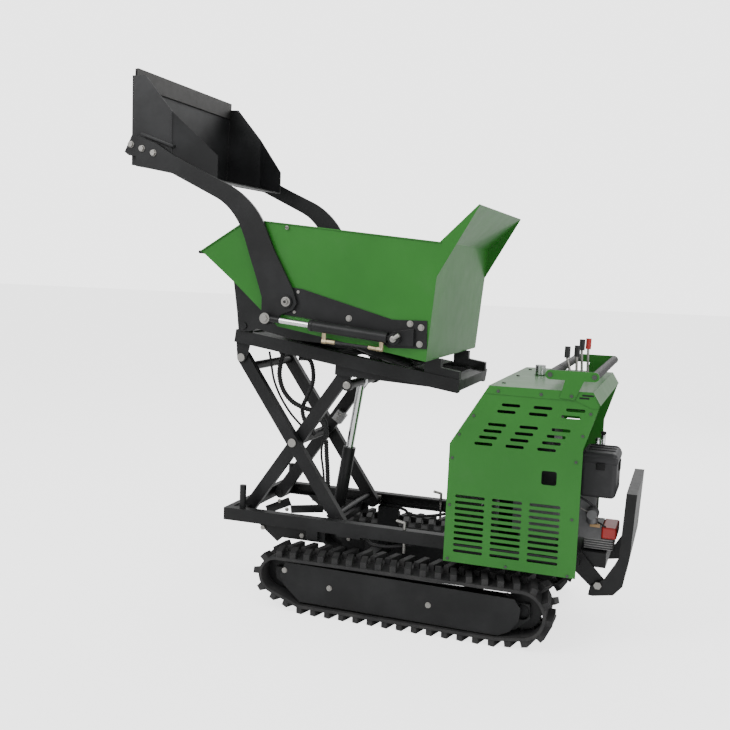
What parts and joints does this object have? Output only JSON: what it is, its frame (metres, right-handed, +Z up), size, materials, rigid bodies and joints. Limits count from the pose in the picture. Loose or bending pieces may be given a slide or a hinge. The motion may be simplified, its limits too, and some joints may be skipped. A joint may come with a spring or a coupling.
{
  "type": "power wheelbarrow",
  "caption": "Tracked power barrow with a scissor lift, a forward-tipping skip, a self-loading shovel on swinging arms and a fold-down rider platform.",
  "frame": {"origin": "middle of the bounding box in X and Y, on the ground", "axes": "+X forward, +Y to the machine's left, +Z up"},
  "size_m": [2.072, 0.928, 2.1528],
  "materials": {
    "green_paint": "gloss",
    "black_paint": "satin",
    "dark_steel": "satin",
    "zinc_steel": "satin",
    "chrome_rod": "polished",
    "track_rubber": "matte",
    "cast_alloy": "cast",
    "black_plastic": "matte",
    "worn_steel": "worn",
    "red_plastic": "gloss"
  },
  "bodies": {
    "chassis": {"lower_frame": "black_paint", "track_frames": "black_paint", "track_belt_left": "track_rubber", "track_belt_right": "track_rubber", "track_covers": "black_paint", "drive_motors": "dark_steel", "hood_side_left": "green_paint", "hood_side_right": "green_paint", "hood_front": "green_paint", "hood_top": "green_paint", "grab_bar_plates": "green_paint", "grab_bars": "dark_steel", "control_valve": "black_paint", "hydraulic_tank": "black_paint", "engine_block": "cast_alloy", "air_cleaner": "black_plastic", "fuel_tank": "black_plastic", "muffler": "cast_alloy", "recoil_starter": "red_plastic", "frame_bolts": "zinc_steel", "platform_pins": "zinc_steel", "panel_screws": "zinc_steel"},
    "inner_arms": {"scissor_inner": "black_paint"},
    "outer_arms": {"scissor_outer": "black_paint"},
    "lower_blocks": {"slide_blocks_lower": "zinc_steel"},
    "upper_blocks": {"slide_blocks_upper": "zinc_steel"},
    "lift_barrel": {"lift_barrel": "black_paint"},
    "lift_rod": {"lift_rod": "chrome_rod"},
    "upper_frame": {"upper_frame": "black_paint", "rest_pads": "black_paint"},
    "skip": {"skip": "green_paint", "loader_brackets": "black_paint", "bracket_bolts": "zinc_steel"},
    "tip_barrel": {"tip_barrel": "black_paint"},
    "tip_rod": {"tip_rod": "chrome_rod"},
    "loader": {"loader_arms": "black_paint", "loader_bolts": "zinc_steel", "shovel": "black_paint", "cutting_edge": "worn_steel"},
    "loader_barrels": {"loader_barrels": "black_paint"},
    "loader_rods": {"loader_rods": "chrome_rod"},
    "sprocket_left": {"sprocket_left": "dark_steel"},
    "idler_left": {"idler_left": "dark_steel"},
    "roller_left_1": {"roller_left_1": "dark_steel"},
    "roller_left_2": {"roller_left_2": "dark_steel"},
    "roller_left_3": {"roller_left_3": "dark_steel"},
    "sprocket_right": {"sprocket_right": "dark_steel"},
    "idler_right": {"idler_right": "dark_steel"},
    "roller_right_1": {"roller_right_1": "dark_steel"},
    "roller_right_2": {"roller_right_2": "dark_steel"},
    "roller_right_3": {"roller_right_3": "dark_steel"},
    "lever_1": {"lever_1": "zinc_steel"},
    "lever_2": {"lever_2": "zinc_steel"},
    "lever_3": {"lever_3": "zinc_steel"},
    "lever_4": {"lever_4": "zinc_steel"},
    "lock_pin_left": {"lock_pin_left": "zinc_steel"},
    "lock_pin_right": {"lock_pin_right": "zinc_steel"},
    "tank_cap": {"tank_cap": "chrome_rod"},
    "fuel_cap": {"fuel_cap": "black_plastic"},
    "platform": {"platform": "black_paint"}
  },
  "joints": [
    {"name": "scissor_lift", "type": "hinge", "parent": "chassis", "child": "inner_arms", "pos_m": [0.569, 0, 0.332], "axis": [0, 1, 0], "range_deg": [-46, 0]},
    {"name": "scissor_cross", "type": "hinge", "parent": "inner_arms", "child": "outer_arms", "pos_m": [0.349, 0, 0.648], "axis": [0, 1, 0], "range_deg": [-1, 93]},
    {"name": "frame_level", "type": "hinge", "parent": "outer_arms", "child": "upper_frame", "pos_m": [0.58726, 0, 0.99023], "axis": [0, 1, 0], "range_deg": [-44.37, 1]},
    {"name": "lower_block_level", "type": "hinge", "parent": "outer_arms", "child": "lower_blocks", "pos_m": [0.129, 0, 0.332], "axis": [0, 1, 0], "range_deg": [-47, 1]},
    {"name": "upper_block_level", "type": "hinge", "parent": "inner_arms", "child": "upper_blocks", "pos_m": [0.12731, 0, 0.96643], "axis": [0, 1, 0], "range_deg": [-1, 49.63]},
    {"name": "lift_barrel_tilt", "type": "hinge", "parent": "chassis", "child": "lift_barrel", "pos_m": [0.22, 0, 0.323], "axis": [0, 1, 0], "range_deg": [-68.53, 1]},
    {"name": "lift_rod_slide", "type": "slide", "parent": "lift_barrel", "child": "lift_rod", "axis": [-0.1508, 0, 0.9886], "range_m": [-0.21172, 0.002]},
    {"name": "skip_tip", "type": "hinge", "parent": "upper_frame", "child": "skip", "pos_m": [0.5639, 0, 1.12526], "axis": [0, 1, 0], "range_deg": [0, 50]},
    {"name": "tip_barrel_tilt", "type": "hinge", "parent": "upper_frame", "child": "tip_barrel", "pos_m": [-0.11759, 0, 0.97009], "axis": [0, 1, 0], "range_deg": [-20.68, 1]},
    {"name": "tip_rod_slide", "type": "slide", "parent": "tip_barrel", "child": "tip_rod", "axis": [0.9507, 0, 0.3102], "range_m": [-0.002, 0.18931]},
    {"name": "loader_arms", "type": "hinge", "parent": "skip", "child": "loader", "pos_m": [0.298, 0, 1.239], "axis": [0, -1, 0], "range_deg": [-82, 5]},
    {"name": "loader_barrel_tilt", "type": "hinge", "parent": "skip", "child": "loader_barrels", "pos_m": [-0.15, 0, 1.121], "axis": [0, -1, 0], "range_deg": [-2.09, 1.07]},
    {"name": "loader_rod_slide", "type": "slide", "parent": "loader_barrels", "child": "loader_rods", "axis": [0.9954, 0, 0.0963], "range_m": [-0.13764, 0.01027]},
    {"name": "sprocket_left_turn", "type": "hinge", "parent": "chassis", "child": "sprocket_left", "pos_m": [-0.66, 0.325, 0.133], "axis": [0, 1, 0], "continuous": true},
    {"name": "idler_left_turn", "type": "hinge", "parent": "chassis", "child": "idler_left", "pos_m": [0.32, 0.325, 0.143], "axis": [0, 1, 0], "continuous": true},
    {"name": "roller_left_1_turn", "type": "hinge", "parent": "chassis", "child": "roller_left_1", "pos_m": [0.212, 0.325, 0.068], "axis": [0, 1, 0], "continuous": true},
    {"name": "roller_left_2_turn", "type": "hinge", "parent": "chassis", "child": "roller_left_2", "pos_m": [-0.178, 0.325, 0.068], "axis": [0, 1, 0], "continuous": true},
    {"name": "roller_left_3_turn", "type": "hinge", "parent": "chassis", "child": "roller_left_3", "pos_m": [-0.566, 0.325, 0.068], "axis": [0, 1, 0], "continuous": true},
    {"name": "sprocket_right_turn", "type": "hinge", "parent": "chassis", "child": "sprocket_right", "pos_m": [-0.66, -0.325, 0.133], "axis": [0, 1, 0], "continuous": true},
    {"name": "idler_right_turn", "type": "hinge", "parent": "chassis", "child": "idler_right", "pos_m": [0.32, -0.325, 0.143], "axis": [0, 1, 0], "continuous": true},
    {"name": "roller_right_1_turn", "type": "hinge", "parent": "chassis", "child": "roller_right_1", "pos_m": [0.212, -0.325, 0.068], "axis": [0, 1, 0], "continuous": true},
    {"name": "roller_right_2_turn", "type": "hinge", "parent": "chassis", "child": "roller_right_2", "pos_m": [-0.178, -0.325, 0.068], "axis": [0, 1, 0], "continuous": true},
    {"name": "roller_right_3_turn", "type": "hinge", "parent": "chassis", "child": "roller_right_3", "pos_m": [-0.566, -0.325, 0.068], "axis": [0, 1, 0], "continuous": true},
    {"name": "lever_1_tilt", "type": "hinge", "parent": "chassis", "child": "lever_1", "pos_m": [-0.773, 0.12, 0.941], "axis": [0, 1, 0], "range_deg": [-8, 5], "stiffness_Nm_per_rad": 4},
    {"name": "lever_2_tilt", "type": "hinge", "parent": "chassis", "child": "lever_2", "pos_m": [-0.772, 0.04, 0.941], "axis": [0, 1, 0], "range_deg": [-8, 8], "stiffness_Nm_per_rad": 4},
    {"name": "lever_3_tilt", "type": "hinge", "parent": "chassis", "child": "lever_3", "pos_m": [-0.784, -0.04, 0.941], "axis": [0, 1, 0], "range_deg": [-8, 8], "stiffness_Nm_per_rad": 4},
    {"name": "lever_4_tilt", "type": "hinge", "parent": "chassis", "child": "lever_4", "pos_m": [-0.797, -0.12, 0.941], "axis": [0, 1, 0], "range_deg": [-8, 8], "stiffness_Nm_per_rad": 4},
    {"name": "lock_pin_left_lift", "type": "slide", "parent": "chassis", "child": "lock_pin_left", "axis": [0, 0, 1], "range_m": [0, 0.045]},
    {"name": "lock_pin_right_lift", "type": "slide", "parent": "chassis", "child": "lock_pin_right", "axis": [0, 0, 1], "range_m": [0, 0.045]},
    {"name": "tank_cap_turn", "type": "hinge", "parent": "chassis", "child": "tank_cap", "pos_m": [-0.61, -0.095, 0.99], "axis": [0, 0, 1], "continuous": true},
    {"name": "fuel_cap_turn", "type": "hinge", "parent": "chassis", "child": "fuel_cap", "pos_m": [-0.688, 0.17, 0.732], "axis": [0, 0, 1], "continuous": true},
    {"name": "platform_fold", "type": "hinge", "parent": "chassis", "child": "platform", "pos_m": [-0.916, 0, 0.236], "axis": [0, -1, 0], "range_deg": [0, 85]}
  ],
  "couplings": [
    {"joint": "scissor_cross", "follows": "scissor_lift", "ratio": -2},
    {"joint": "frame_level", "follows": "scissor_lift", "ratio": 0.94284},
    {"joint": "lower_block_level", "follows": "scissor_lift", "ratio": 1},
    {"joint": "upper_block_level", "follows": "scissor_lift", "ratio": -1.0572},
    {"joint": "lift_barrel_tilt", "follows": "scissor_lift", "ratio": 1.468},
    {"joint": "lift_rod_slide", "follows": "scissor_lift", "m_per_rad": 0.26122},
    {"joint": "tip_barrel_tilt", "follows": "skip_tip", "ratio": -0.39364},
    {"joint": "tip_rod_slide", "follows": "skip_tip", "m_per_rad": 0.21464},
    {"joint": "loader_barrel_tilt", "follows": "loader_arms", "ratio": 0.013341},
    {"joint": "loader_rod_slide", "follows": "loader_arms", "m_per_rad": 0.094773},
    {"joint": "idler_left_turn", "follows": "sprocket_left_turn", "ratio": 1.2714},
    {"joint": "roller_left_1_turn", "follows": "sprocket_left_turn", "ratio": 2.3421},
    {"joint": "roller_left_2_turn", "follows": "sprocket_left_turn", "ratio": 2.3421},
    {"joint": "roller_left_3_turn", "follows": "sprocket_left_turn", "ratio": 2.3421},
    {"joint": "idler_right_turn", "follows": "sprocket_right_turn", "ratio": 1.2714},
    {"joint": "roller_right_1_turn", "follows": "sprocket_right_turn", "ratio": 2.3421},
    {"joint": "roller_right_2_turn", "follows": "sprocket_right_turn", "ratio": 2.3421},
    {"joint": "roller_right_3_turn", "follows": "sprocket_right_turn", "ratio": 2.3421}
  ]
}
